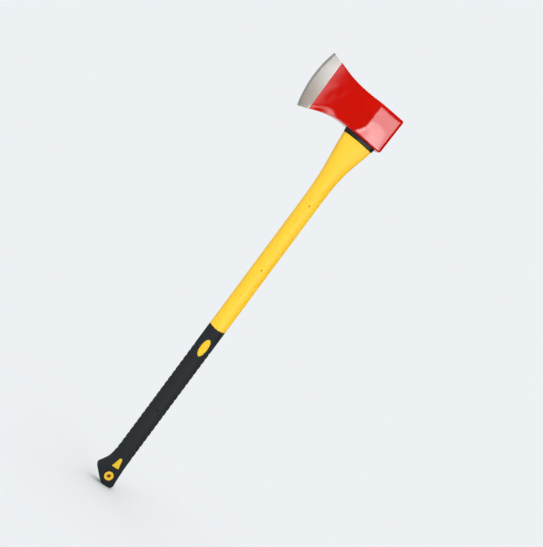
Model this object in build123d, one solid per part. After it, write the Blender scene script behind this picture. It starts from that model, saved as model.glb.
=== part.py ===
from build123d import *
import math
import os

# Fire axe: a flat-headed axe on a moulded handle, as kept in fire cabinets.
# Frame: +Z runs up the handle from the butt, -X is the cutting edge's side, the cheeks
# face -Y and +Y. The origin is on the flat butt end, on the handle's long axis.

# Handle, millimetres
HANDLE_WIDTH = 35.6
HANDLE_DEPTH = 26.0
HANDLE_END_RADIUS = 9.0

# Shoulder: how far the handle swells towards the edge and the poll on its way up to the
# collar; the larger the power, the longer that side stays slim
SHOULDER_START = 640.0
SHOULDER_TOP = 813.4
SHOULDER_EDGE_SWELL = 12.5
SHOULDER_POLL_SWELL = 18.9
SHOULDER_DEPTH_SWELL = 1.0
SHOULDER_RADIUS_SWELL = 1.2
EDGE_SWELL_POWER = 1.6
POLL_SWELL_POWER = 2.2
SHOULDER_SECTIONS = 12

# Seat of the head: its eye's centre on the underside, and the head's small hang angle
SEAT_X = 3.2
SEAT_Z = 813.8
HANG_ANGLE = 1.6

# Head, in its own frame: x towards the poll, z up, from the centre of the seat. The top is
# crowned over the eye and dips to a waist before the blade flares
HEAD_HEIGHT = 76.3
CROWN_X = -8.0
POLL_HEIGHT = 75.5
POLL_TOP_SLOPE = 0.02
WAIST = (-38.0, 75.0)
TOP_FLARE_MIDDLE = (-95.0, 81.1)
TOE = (-139.2, 92.6)
TOE_SLOPE = 14.5
EDGE_APEX = (-144.8, 38.9)
HEEL = (-133.8, -27.6)
HEEL_SLOPE = 22.7
BOTTOM_FLARE_END = (-95.0, -11.4)
BOTTOM_FLARE_START = -43.0
POLL_X = 45.1
POLL_TOP_CORNER = 3.0
POLL_BOTTOM_CORNER = 4.5

# Head in plan: the cheeks narrow to the edge in one convex taper, and the blade is ground
# flat beyond the paint line. Places are (x, half thickness)
POLL_HALF_DEPTH = 13.5
EYE_HALF_DEPTH = 14.3
CHEEK_TURN = -6.0
CHEEK_MIDDLE = (-57.0, 11.5)
GRIND_START = (-113.4, 5.7)
CHEEK_END_SLOPE = 0.12
GRIND_END = (-150.4, 0.32)
GRIND_LEAN = 2.2
BEVEL_WIDTH = 4.5
BEVEL_HALF_DEPTH = 1.7
EDGE_HALF_DEPTH = 0.15
POLL_CHAMFER = (5.2, 3.6)
BOTTOM_CHAMFER = (3.6, 2.6)
TOP_CHAMFER = (1.6, 1.6)

# Eye through the head, the tang inside it and the collar under it: width, depth, end radius
EYE_BOTTOM = (64.0, 19.0, 8.0)
EYE_TOP = (66.0, 21.0, 8.8)
TANG = (60.0, 16.0, 6.8)
TANG_RECESS = 2.7
COLLAR_BOTTOM = (67.8, 27.6, 10.8)
COLLAR_TOP = (70.2, 28.4, 11.2)
COLLAR_HEIGHT = 8.8
COLLAR_ROUNDING = 1.6

# Pultruded core bar: width, depth, end radius
CORE = (22.0, 12.0, 5.0)
CORE_BOTTOM = 33.0

# Grip sleeve over the lower handle
GRIP_TOP = 365.2
GRIP_TOP_DIP = 3.0
JACKET_NECK = (29.0, 20.0, 7.0)
JACKET_BOTTOM = 9.0
GROOVE_FIRST = 69.65
GROOVE_PITCH = 12.15
GROOVE_COUNT = 21
GROOVE_WIDTH = 4.0
GROOVE_DEPTH = 0.7
GROOVE_WRAP = 9.0

# Butt knob: sections (height, reach towards the edge, reach towards the poll)
KNOB_SECTIONS = [
    (0.0, 46.0, 21.3),
    (12.0, 41.2, 20.1),
    (24.0, 35.6, 19.1),
    (36.0, 28.7, 18.4),
    (48.0, 22.1, 17.9),
    (60.0, 19.1, 17.8),
    (72.0, 18.1, 17.8),
    (84.0, 17.8, 17.8),
]
KNOB_TIP = (-34.2, 27.6)
BUTT_HEEL_X = -4.5
KNOB_ROUNDING = 6.4

# Windows where the jacket shows through the sleeve
ELLIPSE_Z = 320.3
ELLIPSE_WIDTH = 15.0
ELLIPSE_HEIGHT = 37.4
ARCH_BOTTOM_Z = 39.8
ARCH_TOP_Z = 60.6
ARCH_BOTTOM_WIDTH = 15.1
ARCH_TOP_RADIUS = 3.1
BOSS_RADIUS = 9.1

# Hanging hole through the boss
HOLE_Z = 20.2
HOLE_RADIUS = 3.75
HOLE_CHAMFER = 1.4

# Holes left by the pins that centre the core while the jacket is moulded
PIN_RADIUS = 1.5
PIN_HEIGHTS = [173.0, 501.6, 652.4]

# Construction: cutting tools clear the whole part by the first, and shapes that are joined
# to or cut from each other run past their meeting face by the second
OVERSIZE = 60.0
OVERRUN = 5.0

HEAD_FRAME = Location((SEAT_X, 0, SEAT_Z), (0, HANG_ANGLE, 0))


def oval(width, depth, end_radius):
    """A closed outline of two wide flank arcs and two end arcs, tangent where they meet."""
    reach = width / 2 - end_radius
    half = depth / 2
    flank_radius = (reach**2 + half**2 - end_radius**2) / (2 * (half - end_radius))
    lean = math.asin(reach / (flank_radius - end_radius))
    x = flank_radius * math.sin(lean)
    y = flank_radius * math.cos(lean) - (flank_radius - half)
    arcs = [
        ThreePointArc((x, -y), (width / 2, 0), (x, y)),
        ThreePointArc((x, y), (0, half), (-x, y)),
        ThreePointArc((-x, y), (-width / 2, 0), (-x, -y)),
        ThreePointArc((-x, -y), (0, -half), (x, -y)),
    ]
    return make_face(arcs)


def section(height, edge_reach, poll_reach, depth, end_radius):
    """A handle section that reaches a given way to each side of the handle's axis."""
    centre = (poll_reach - edge_reach) / 2
    return Pos(centre, 0, height) * oval(edge_reach + poll_reach, depth, end_radius)


def bar(outline, bottom, top):
    """A straight bar of an oval outline between two heights."""
    return Pos(0, 0, bottom) * extrude(oval(*outline), top - bottom)


def through_y(face):
    """A face drawn in the side view, extended through the part to both sides."""
    return extrude(Plane.XZ * face, OVERSIZE, both=True)


def side_polygon(*points):
    """A straight-sided face drawn in the side view."""
    return make_face(Polyline(*points, close=True))


# Head -----------------------------------------------------------------------------------

def head_outline():
    """Side view of the head: poll, crowned top, straight underside and flared blade."""
    toe_tangent = (-math.cos(math.radians(TOE_SLOPE)), math.sin(math.radians(TOE_SLOPE)))
    heel_tangent = (-math.cos(math.radians(HEEL_SLOPE)), -math.sin(math.radians(HEEL_SLOPE)))
    bottom_start = (BOTTOM_FLARE_START, 0)
    poll_bottom = (POLL_X - POLL_BOTTOM_CORNER, 0)
    poll_low = (POLL_X, POLL_BOTTOM_CORNER)
    poll_high = (POLL_X, POLL_HEIGHT - POLL_TOP_CORNER)
    poll_top = (POLL_X - POLL_TOP_CORNER, POLL_HEIGHT)
    crown = (CROWN_X, HEAD_HEIGHT)
    edges = [
        Line(bottom_start, poll_bottom),
        Line(poll_bottom, poll_low),
        Line(poll_low, poll_high),
        Line(poll_high, poll_top),
        Spline(poll_top, crown, WAIST, tangents=[(-1, POLL_TOP_SLOPE), (-1, 0)]),
        Spline(WAIST, TOP_FLARE_MIDDLE, TOE, tangents=[(-1, 0), toe_tangent]),
        ThreePointArc(TOE, EDGE_APEX, HEEL),
        Line(HEEL, BOTTOM_FLARE_END),
        Spline(bottom_start, BOTTOM_FLARE_END, tangents=[(-1, 0), heel_tangent]),
    ]
    return make_face(edges)


def mirrored_plan(upper_edges, start, end):
    """A plan view closed by its own mirror image across the head's middle plane."""
    lower_edges = [mirror(edge, Plane.XZ) for edge in upper_edges]
    caps = [
        Line((start[0], -start[1]), start),
        Line((end[0], -end[1]), end),
    ]
    return make_face(upper_edges + lower_edges + caps)


def poll_plan():
    """Plan view of the poll: chamfered corners, then nearly flat as far as the eye."""
    chamfer_x, chamfer_y = POLL_CHAMFER
    poll = (POLL_X, POLL_HALF_DEPTH - chamfer_y)
    shoulder = (POLL_X - chamfer_x, POLL_HALF_DEPTH)
    turn = (CHEEK_TURN, EYE_HALF_DEPTH)
    end = (GRIND_END[0], EYE_HALF_DEPTH)
    edges = [Line(poll, shoulder), Line(shoulder, turn), Line(turn, end)]
    return mirrored_plan(edges, poll, end)


def blade_plan():
    """Plan view of the blade: the cheeks' taper, then the flat-ground faces."""
    back = (POLL_X + OVERRUN, EYE_HALF_DEPTH)
    turn = (CHEEK_TURN, EYE_HALF_DEPTH)
    slopes = [(-1, 0), (-1, -CHEEK_END_SLOPE)]
    edges = [
        Line(back, turn),
        Spline(turn, CHEEK_MIDDLE, GRIND_START, tangents=slopes),
        Line(GRIND_START, GRIND_END),
    ]
    return mirrored_plan(edges, back, GRIND_END)


def edge_wedge():
    """A disc on the cutting edge's own centre, whose rim is the honed secondary bevel."""
    arc = ThreePointArc(TOE, EDGE_APEX, HEEL)
    radius = arc.radius
    centre = arc.arc_center
    bevel_start = radius - BEVEL_WIDTH
    rim = [
        (0, -OVERSIZE), (bevel_start - OVERSIZE, -OVERSIZE), (bevel_start, -BEVEL_HALF_DEPTH),
        (radius, -EDGE_HALF_DEPTH), (radius, EDGE_HALF_DEPTH),
        (bevel_start, BEVEL_HALF_DEPTH), (bevel_start - OVERSIZE, OVERSIZE), (0, OVERSIZE),
    ]
    profile = make_face(Polyline(*rim, close=True))
    disc = revolve(profile, Axis.Y)
    return Pos(centre.X, 0, centre.Y) * disc


def edge_chamfers():
    """End view of the head's body: chamfered along the top and the underside only."""
    bottom_z, bottom_y = BOTTOM_CHAMFER
    top_z, top_y = TOP_CHAMFER
    outer = EYE_HALF_DEPTH + OVERRUN
    bottom_inner = EYE_HALF_DEPTH - bottom_y
    top_inner = EYE_HALF_DEPTH - top_y
    half = [
        (bottom_inner, -OVERSIZE), (bottom_inner, 0),
        (outer, bottom_z * (bottom_y + OVERRUN) / bottom_y),
        (outer, HEAD_HEIGHT - top_z * (top_y + OVERRUN) / top_y),
        (top_inner, HEAD_HEIGHT), (top_inner, HEAD_HEIGHT + OVERSIZE),
    ]
    other_half = [(-y, z) for y, z in reversed(half)]
    return make_face(Polyline(*half, *other_half, close=True))


def eye_cavity():
    """The tapered eye, wider at the top so that the set resin keys the head on."""
    return loft([oval(*EYE_BOTTOM), Pos(0, 0, HEAD_HEIGHT) * oval(*EYE_TOP)])


def make_head():
    body = through_y(head_outline())
    low = -OVERSIZE
    high = 2 * HEAD_HEIGHT + OVERSIZE
    body &= Pos(0, 0, low) * extrude(poll_plan(), high)
    body &= Rot(0, -GRIND_LEAN, 0) * Pos(0, 0, low) * extrude(blade_plan(), high)
    body &= edge_wedge()
    body &= extrude(Plane.YZ * edge_chamfers(), 3 * OVERSIZE, both=True)
    return HEAD_FRAME * (body - eye_cavity())


# Handle ---------------------------------------------------------------------------------

def under_seat(depth):
    """Everything below a plane parallel to the head's underside, a depth under it."""
    block = Box(4 * OVERSIZE, 2 * OVERSIZE, 2 * SEAT_Z)
    return HEAD_FRAME * (Pos(0, 0, -depth - SEAT_Z) * block)


def make_tang():
    """The part of the jacket that passes through the collar and up the eye."""
    return HEAD_FRAME * bar(TANG, -COLLAR_HEIGHT - OVERRUN, HEAD_HEIGHT - TANG_RECESS)


def make_core():
    """The pultruded bar, cut off level with the end of the tang."""
    full = bar(CORE, CORE_BOTTOM, SEAT_Z + 2 * HEAD_HEIGHT)
    return full & under_seat(TANG_RECESS - HEAD_HEIGHT)


def eased(part_way, power):
    """An S-shaped rise from 0 to 1."""
    late = part_way**power
    return 3 * late**2 - 2 * late**3


def shoulder_section(part_way):
    """A section of the shoulder, part_way from 0 at its start to 1 at its top."""
    edge_swell = eased(part_way, EDGE_SWELL_POWER)
    poll_swell = eased(part_way, POLL_SWELL_POWER)
    return section(
        SHOULDER_START + part_way * (SHOULDER_TOP - SHOULDER_START),
        HANDLE_WIDTH / 2 + edge_swell * SHOULDER_EDGE_SWELL,
        HANDLE_WIDTH / 2 + poll_swell * SHOULDER_POLL_SWELL,
        HANDLE_DEPTH + edge_swell * SHOULDER_DEPTH_SWELL,
        HANDLE_END_RADIUS + edge_swell * SHOULDER_RADIUS_SWELL,
    )


def upper_handle():
    """The full-section handle and its shoulder, up to the underside of the collar."""
    outline = (HANDLE_WIDTH, HANDLE_DEPTH, HANDLE_END_RADIUS)
    straight = bar(outline, 0, SHOULDER_START)
    last = SHOULDER_SECTIONS - 1
    shoulder = loft([shoulder_section(i / last) for i in range(SHOULDER_SECTIONS)])
    return (straight + shoulder) & under_seat(COLLAR_HEIGHT)


def grip_zone():
    """The space below the curved line where the sleeve stops."""
    half = HANDLE_WIDTH / 2
    radius = (half**2 + GRIP_TOP_DIP**2) / (2 * GRIP_TOP_DIP)
    block = Pos(0, 0, GRIP_TOP + OVERRUN - SEAT_Z / 2) * Box(4 * OVERSIZE, 2 * OVERSIZE, SEAT_Z)
    centre = Pos(0, 0, GRIP_TOP - GRIP_TOP_DIP + radius)
    return block - centre * Rot(90, 0, 0) * Cylinder(radius, 2 * OVERSIZE)


def make_knob():
    """The flared butt, cut off obliquely under its tip and flat across the bottom."""
    flare = loft([section(z, left, right, HANDLE_DEPTH, HANDLE_END_RADIUS)
                  for z, left, right in KNOB_SECTIONS])
    tip_x, tip_z = KNOB_TIP
    slope = tip_z / (tip_x - BUTT_HEEL_X)
    far_x = tip_x - OVERSIZE
    under_tip = side_polygon(
        (BUTT_HEEL_X, 0), (far_x, slope * (far_x - BUTT_HEEL_X)), (far_x, -OVERSIZE),
        (BUTT_HEEL_X, -OVERSIZE),
    )
    knob = flare - through_y(under_tip)
    cut_faces = knob.faces().filter_by(GeomType.PLANE).sort_by(Axis.Z)[:2]
    rims = set(cut_faces[0].edges()) | set(cut_faces[1].edges())
    return fillet(list(rims), KNOB_ROUNDING)


def grip_envelope():
    """The outside of the sleeve before its windows and grooves."""
    outline = (HANDLE_WIDTH, HANDLE_DEPTH, HANDLE_END_RADIUS)
    knob_top = KNOB_SECTIONS[-1][0]
    return (make_knob() + bar(outline, knob_top, GRIP_TOP + OVERRUN)) & grip_zone()


def arch_face():
    """A tapered window with a round top."""
    top_centre = ARCH_TOP_Z - ARCH_TOP_RADIUS
    half = ARCH_BOTTOM_WIDTH / 2
    lean = math.atan2(half - ARCH_TOP_RADIUS, top_centre - ARCH_BOTTOM_Z)
    x = ARCH_TOP_RADIUS * math.cos(lean)
    z = top_centre + ARCH_TOP_RADIUS * math.sin(lean)
    edges = [
        Line((-half, ARCH_BOTTOM_Z), (half, ARCH_BOTTOM_Z)),
        Line((half, ARCH_BOTTOM_Z), (x, z)),
        ThreePointArc((x, z), (0, ARCH_TOP_Z), (-x, z)),
        Line((-x, z), (-half, ARCH_BOTTOM_Z)),
    ]
    return make_face(edges)


def window_prisms():
    """The jacket's raised islands: ellipse, arch and the hanging hole's boss."""
    ellipse = Pos(0, ELLIPSE_Z) * Ellipse(ELLIPSE_WIDTH / 2, ELLIPSE_HEIGHT / 2)
    boss = Pos(0, HOLE_Z) * Circle(BOSS_RADIUS)
    return [through_y(ellipse), through_y(arch_face()), through_y(boss)]


def jacket_neck():
    """The thinner jacket inside the sleeve."""
    return bar(JACKET_NECK, JACKET_BOTTOM, GRIP_TOP + OVERRUN)


def hanging_hole():
    """The hole through the boss, chamfered at both mouths."""
    half = HANDLE_DEPTH / 2
    wide = HOLE_RADIUS + HOLE_CHAMFER
    bore = Cylinder(HOLE_RADIUS, 2 * OVERSIZE)
    mouth = Pos(0, 0, half - HOLE_CHAMFER / 2) * Cone(HOLE_RADIUS, wide, HOLE_CHAMFER)
    mouth += Pos(0, 0, half + OVERRUN / 2) * Cylinder(wide, OVERRUN)
    tool = bore + mouth + mirror(mouth, Plane.XY)
    return Pos(0, 0, HOLE_Z) * Rot(90, 0, 0) * tool


def pin_holes():
    """Small round holes from each face of the handle down to the core."""
    pin = Rot(90, 0, 0) * Cylinder(PIN_RADIUS, 2 * OVERSIZE)
    return [Pos(0, 0, height) * pin for height in PIN_HEIGHTS]


def make_jacket(core, envelope):
    body = upper_handle() - grip_zone() + make_tang() + jacket_neck()
    for island in window_prisms():
        body += island & envelope
    body -= core
    body -= hanging_hole()
    for pin in pin_holes():
        body -= pin
    return body


def grip_grooves():
    """Finger grooves that wrap round both edges of the sleeve and stop on its faces."""
    depth = 2 * GROOVE_DEPTH
    grown = 2 * OVERRUN
    outer = oval(HANDLE_WIDTH + grown, HANDLE_DEPTH + grown, HANDLE_END_RADIUS + OVERRUN)
    inner = oval(HANDLE_WIDTH - depth, HANDLE_DEPTH - depth, HANDLE_END_RADIUS - GROOVE_DEPTH)
    ring = extrude(outer - inner, GROOVE_WIDTH)
    ring -= Box(2 * GROOVE_WRAP, 2 * OVERSIZE, 4 * GROOVE_WIDTH)
    heights = [GROOVE_FIRST + i * GROOVE_PITCH for i in range(GROOVE_COUNT)]
    return [Pos(0, 0, height) * ring for height in heights]


def make_grip(envelope):
    body = envelope - jacket_neck()
    for island in window_prisms():
        body -= island
    for groove in grip_grooves():
        body -= groove
    for pin in pin_holes():
        body -= pin
    return body


# Joint between the head and the handle --------------------------------------------------

def make_collar():
    """Rubber gasket squeezed between the shoulder and the head's underside."""
    ring = loft([Pos(0, 0, -COLLAR_HEIGHT) * oval(*COLLAR_BOTTOM), oval(*COLLAR_TOP)])
    top = ring.faces().sort_by(Axis.Z)[-1]
    bottom = ring.faces().sort_by(Axis.Z)[0]
    ring = fillet(top.edges() + bottom.edges(), COLLAR_ROUNDING)
    return HEAD_FRAME * (ring - bar(TANG, -COLLAR_HEIGHT - OVERRUN, OVERRUN))


def make_resin():
    """Cast resin that fills the eye round the tang, level with the tang's end."""
    height = HEAD_HEIGHT - TANG_RECESS
    slab = Pos(0, 0, height / 2) * Box(2 * OVERSIZE, OVERSIZE, height)
    return HEAD_FRAME * ((eye_cavity() & slab) - bar(TANG, -OVERRUN, HEAD_HEIGHT))


def write(name, solid):
    solid.label = name
    export_step(solid, f"parts/{name}.step")


os.makedirs("parts", exist_ok=True)
core = make_core()
envelope = grip_envelope()
write("axe_head", make_head())
write("fibreglass_core", core)
write("handle_jacket", make_jacket(core, envelope))
write("grip_sleeve", make_grip(envelope))
write("eye_collar", make_collar())
write("eye_resin", make_resin())
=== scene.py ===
import math

import bmesh
import bpy
import numpy as np
from mathutils import Matrix, Vector


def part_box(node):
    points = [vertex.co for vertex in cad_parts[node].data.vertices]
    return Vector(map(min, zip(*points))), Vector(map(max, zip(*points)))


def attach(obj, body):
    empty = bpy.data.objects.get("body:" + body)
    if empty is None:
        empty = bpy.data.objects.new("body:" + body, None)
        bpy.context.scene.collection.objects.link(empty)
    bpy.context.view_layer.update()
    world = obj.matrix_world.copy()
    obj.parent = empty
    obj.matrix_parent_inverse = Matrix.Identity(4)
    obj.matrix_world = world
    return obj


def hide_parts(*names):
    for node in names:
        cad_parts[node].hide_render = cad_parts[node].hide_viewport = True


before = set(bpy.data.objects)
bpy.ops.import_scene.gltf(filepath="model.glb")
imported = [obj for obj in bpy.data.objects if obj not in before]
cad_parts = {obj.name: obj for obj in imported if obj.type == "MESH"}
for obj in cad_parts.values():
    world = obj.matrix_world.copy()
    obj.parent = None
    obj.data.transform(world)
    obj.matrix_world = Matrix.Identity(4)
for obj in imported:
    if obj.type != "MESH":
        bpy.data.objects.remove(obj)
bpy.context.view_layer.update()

# Shapes are worked out in millimetres and become metres when their mesh is made.
MM = 0.001
WELD = 1e-6               # metres within which two points are one
TINY = 1e-3
GRIP_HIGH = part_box("grip_sleeve")[1] / MM

# Handle
HALF_WIDTH = 17.8
HALF_DEPTH = GRIP_HIGH.y
END_RADIUS = 9.0
SHOULDER_START = 640.0
SHOULDER_TOP = 813.4
SHOULDER_EDGE_SWELL = 12.5
SHOULDER_POLL_SWELL = 18.9
SHOULDER_DEPTH_SWELL = 0.5
SHOULDER_RADIUS_SWELL = 1.2
EDGE_SWELL_POWER = 1.6
POLL_SWELL_POWER = 2.2
SHOULDER_RIM = 0.9         # rounding under the collar
HANDLE_BEND_END = 380.0    # above this the rows no longer follow the grip's curved top line
HANDLE_TILT_START = 780.0  # above this they tilt to the head's seat
HANDLE_ROW_GAP = 3.0
SHOULDER_ROW_GAP = 2.5
LAST_ROW_GAP = 1.0         # from the last even row, at least, to the underside of the collar
NECK = (5.0, 3.0)          # how far it reaches down into the grip, and in from its surface

# Head's own frame: u towards the poll and w up, from the centre of its seat
SEAT = (3.2, 813.8)
HANG = math.radians(1.6)
GRIND_LEAN = math.radians(2.2)
LEAN_START = -40.0         # towards the blade from here, lines across the head begin to lean
HEAD_HEIGHT = 76.3
POLL_X = 45.1
POLL_CORNERS = (4.5, 3.0)  # at the underside and at the top
TOE = (-139.2, 92.6)
HEEL = (-133.8, -27.6)
EDGE_APEX = (-144.8, 38.9)
GRIND_X = -113.4
GRIND_HALF_DEPTH = 5.7
GRIND_CROWN = 0.3
GRIND_BLEND_POWER = 6      # how soon the ground face forgets the cheek's rolled borders
BEVEL_WIDTH = 4.5
BEVEL_HALF_DEPTH = 1.7
EDGE_HALF_DEPTH = 0.15
EYE_HALF_DEPTH = 14.3
POLL_HALF_DEPTH = 13.5
POLL_CHAMFER = (5.2, 3.6)
CHAMFER_INNER = 11.7       # half depth of the underside between its chamfers
CHAMFER_SLOPE = 3.6 / 2.6
TOP_INNER = 12.7
SMALL_CHAMFER = 0.55       # where the head is thinner than these inner parts, at most
SMALL_CHAMFER_SHARE = 0.35
CORNER_ROUNDING = 0.9
THIN_ROUNDING = (0.3, 0.02)    # on the thin blade, at most this share of its half and this more
CORNER_SHARE = 0.45            # a corner's rounding takes up at most this share of a side
HIDDEN_W = -6.0            # where the tang and the tool that cuts the eye start
EYE_TOP = (66.0, 21.0, 8.8)
EYE_BOTTOM = (64.0, 19.0, 8.0)
TANG = (60.0, 16.0, 6.8)
TANG_TOP = 73.6
CORE = (22.0, 12.0, 5.0)
COLLAR_BOTTOM = (67.8, 27.6, 10.8)
COLLAR_TOP = (70.2, 28.4, 11.2)
COLLAR_HEIGHT = 8.8
COLLAR_ROUNDING = 1.8
COLLAR_TOP_ROUNDING = 0.5
COLLAR_FACE = 3.0          # the outermost part of its flat faces

# Steps of (height, way out) up the collar's bulging side, the tang's rim and the eye's rim
COLLAR_BULGE = [(-5.8, 0.12), (-4.4, 0.2), (-3.0, 0.12)]
TANG_STEPS = [(HIDDEN_W, 0.0), (TANG_TOP - 0.5, 0.0), (TANG_TOP - 0.15, -0.15), (TANG_TOP, -0.5)]
EYE_STEPS = [(HIDDEN_W, 0.0), (HEAD_HEIGHT - 0.7, 0.0), (HEAD_HEIGHT - 0.35, 0.1),
             (HEAD_HEIGHT - 0.1, 0.35), (HEAD_HEIGHT, 0.7), (HEAD_HEIGHT + 3.0, 0.7)]

# Curves as knots of (distance from the seat's centre towards the edge, value, slope). The
# cheek's are measured along the ground line's own direction. At the underside the eye's
# swell reaches further towards the blade, which twists the cheek a little.
WIDEST = 6.0
LOW_WIDEST = 20.0
CHEEK_END = [(57.0, 11.5, -0.0897), (-GRIND_X, GRIND_HALF_DEPTH, -0.12)]
CHEEK_KNOTS = [(WIDEST, EYE_HALF_DEPTH, 0.0)] + CHEEK_END
LOW_CHEEK_KNOTS = [(LOW_WIDEST, EYE_HALF_DEPTH, 0.0)] + CHEEK_END
LOW_CHEEK = (26.0, 4.0)    # the heights between which the low knots take over
TOP_KNOTS = [(-POLL_X, 75.5, 0.02), (8.0, HEAD_HEIGHT, 0.0), (38.0, 75.0, 0.0),
             (95.0, 81.1, 0.25), (-TOE[0], TOE[1], 0.26)]
UNDERSIDE_KNOTS = [(43.0, 0.0, 0.0), (95.0, -11.4, -0.4184), (-HEEL[0], HEEL[1], -0.4175)]

# The cheek rolls in near its borders, by a (height, depth), from a place (none, whole)
TOP_ROLL = (11.0, 0.22)
TOP_ROLL_FADE = (-100.0, -40.0)
FLARE_ROLL = (11.0, 0.65)
FLARE_ROLL_MORE = (7.0, 0.5)
FLARE_FULLEST = (-85.0, 32.0)    # where the flare's roll has that much more, and its reach
FLARE_ROLL_FADE = (-60.0, -80.0)

# Stations of (way in from the poll's face, way in from the chamfer), then the shares of the
# ground face and of the bevel that each has behind it
POLL_STEPS = [(0.0, 1.1), (0.0, 0.4), (0.25, 0.1), (0.8, 0.0), (1.8, 0.0), (3.0, 0.0),
              (4.4, 0.03), (5.2, 0.16), (6.0, 0.03)]
CHEEK_START = 7.5          # in from the poll's face, where the cheek's even stations begin
CHEEK_ROW_GAP = 2.0
BLADE_STATIONS = 34
GRIND_STEPS = (0.006, 0.03, 0.08, 0.16, 0.28, 0.42, 0.56, 0.70, 0.84, 0.94, 0.985, 1.0)
BEVEL_STEPS = (0.06, 0.35, 0.65, 0.9, 1.0)
STATION_POINTS = 33
FLAT_SHARES = (0.0, 0.3, 0.6, 0.85)    # places of the points across the underside and the top

# Grip
GRIP_TOP = GRIP_HIGH.z
GRIP_TOP_DIP = 3.0
GRIP_BEND_START = 343.0    # above this its rows bend to the curved top line
GRIP_TOP_ROWS = 34
GROOVE_FIRST = 71.65
GROOVE_PITCH = 12.15
GROOVE_COUNT = 21
GROOVE_WIDTH = 4.0
GROOVE_FLOOR = 0.15        # shares of its width: half its floor, and a wall
GROOVE_WALL = 0.5
GROOVE_DEPTH = 0.7
GROOVE_START = 8.0
GROOVE_FULL = 13.0
GROOVE_ROWS = [-4.3, -3.2, -2.5, -1.9, -1.3, -0.7, 0.0, 0.7, 1.3, 1.9, 2.5, 3.2, 4.3, 5.9]
GROOVE_LAST_GAP = 1.2
KNOB_HEIGHTS = [0.0, 12.0, 24.0, 36.0, 48.0, 60.0, 72.0, 84.0]
KNOB_EDGE_REACH = [46.0, 41.2, 35.6, 28.7, 22.1, 19.1, 18.1, HALF_WIDTH]
KNOB_POLL_REACH = [21.3, 20.1, 19.1, 18.4, 17.9, HALF_WIDTH, HALF_WIDTH, HALF_WIDTH]
KNOB_TIP = (-34.2, 27.6)
BUTT_HEEL_X = -4.5
BUTT_SOFTNESS = 2.0
KNOB_ROUNDING = 6.4
KNOB_ROUNDING_STEPS = (1.0, 0.86, 0.72, 0.58, 0.44, 0.30, 0.15)
KNOB_SHEETS_TOP = 60.0
KNOB_ROWS = 52
SEAM = 0.5

# Windows in the grip. The hanging hole is narrower than the CAD's, with the same mouth, so
# that it looks closed from the photo's angle.
ELLIPSE_Z = 320.3
ELLIPSE = (7.5, 18.7)
ARCH_BOTTOM_Z = 39.8
ARCH_TOP_Z = 60.6
ARCH_CENTRE_Z = (ARCH_BOTTOM_Z + ARCH_TOP_Z) / 2 - 1.5    # nearer its wide end
ARCH_HALF_WIDTH = 7.55
ARCH_TOP_RADIUS = 3.1
ARCH_CORNER_POWER = 16.0   # the higher, the sharper its two lower corners
HOLE_Z = 20.2
BOSS_RADIUS = 9.1
HOLE_RADIUS = 3.5
HOLE_MOUTH = HOLE_RADIUS + 1.65
# Inside this radius the hole's faces take a darker, redder yellow: painted shade in the bore
BORE_SHADE_RADIUS = HOLE_RADIUS + 0.5
WINDOW_GAP = 0.14
WINDOW_ROUNDING = 0.45
WINDOW_PARTS = (0.3, 0.6, 0.85, 1.0)   # loops between the rows round a window and its rim
ISLAND_DEPTH = 4.0
ISLAND_SHARES = (0.8, 0.6, 0.4, 0.2)
PIN_RADIUS = 1.5
PIN_ROUNDING = 0.3
GRIP_PIN = 173.0
GRIP_PIN_DEPTH = 6.0
JACKET_PINS = [501.6, 652.4]
JACKET_PIN_DEPTH = 7.0

# Steps of (radius, way down) from the boss's face through the mouth into the hole
BOSS_STEPS = [(HOLE_MOUTH + 0.5, 0.0), (HOLE_MOUTH + 0.1, 0.12), (HOLE_MOUTH - 0.3, 0.45),
              (HOLE_RADIUS + 0.6, 0.9), (HOLE_RADIUS + 0.2, 1.3), (HOLE_RADIUS, 1.6),
              (HOLE_RADIUS, 3.2)]

# Fineness
AROUND = 128               # points round the handle
ISLAND_AROUND = 96
OUTLINE_SAMPLES = 360
RING_PASSES = 60           # rounds of fitting a row to its sheet, or a line to the borders
BORDER_PASSES = 30
SHARP_DEGREES = 35.0
HEAD_SHARP_DEGREES = 32.0

# Studio
CAMERA_TURN = math.radians(11.0)     # round towards the blade's side
CAMERA_ROLL = math.radians(36.61)    # the handle leans this far from the picture's upright
CAMERA_DISTANCE = 2.005
AIM_ACROSS = 0.0207
AIM_HEIGHT = 0.5087
LENS = 69.7
SENSOR_WIDTH = 36.0
BACKGROUND = (0.847, 0.879, 0.905)
ROOM = 0.03
FLOOR_RADIUS = 2.2
FLOOR_SIDES = 96
FLOOR_FADE = (0.05, 0.6)             # distances where it starts to fade and is gone

# Panels of light as a radiance and the left, right, lower and upper side, each from where
# it is dark to where it is fully lit, in degrees
PANELS = {
    "key": (6.4, (10.4, 11.2), (47, 37), (-42, -28), (12.8, 11.2)),
    "key_low": (5.0, (11.0, 12.2), (13.9, 13.2), (-24, -12), (10.1, 9.5)),
    "strip": (2.5, (-18, -9), (-3.2, -7.0), (-4, 12), (42, 26)),
    "low_front": (5.0, (-13, -5), (3, -3), (-48, -32), (7, 1)),
    "low_left": (0.6, (-120, -100), (-30, -45), (-80, -60), (5, -12)),
    "left": (1.7, (-110, -80), (-25, -40), (-20, 0), (50, 30)),
    "overhead": (1.3, (-181, -180), (181, 180), (18, 55), (91, 90)),
}
BACK_PANEL = (1.2, (-80, -50), (80, 50), (-60, -20), (60, 30))


# Curves and sections ----------------------------------------------------------------------

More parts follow.
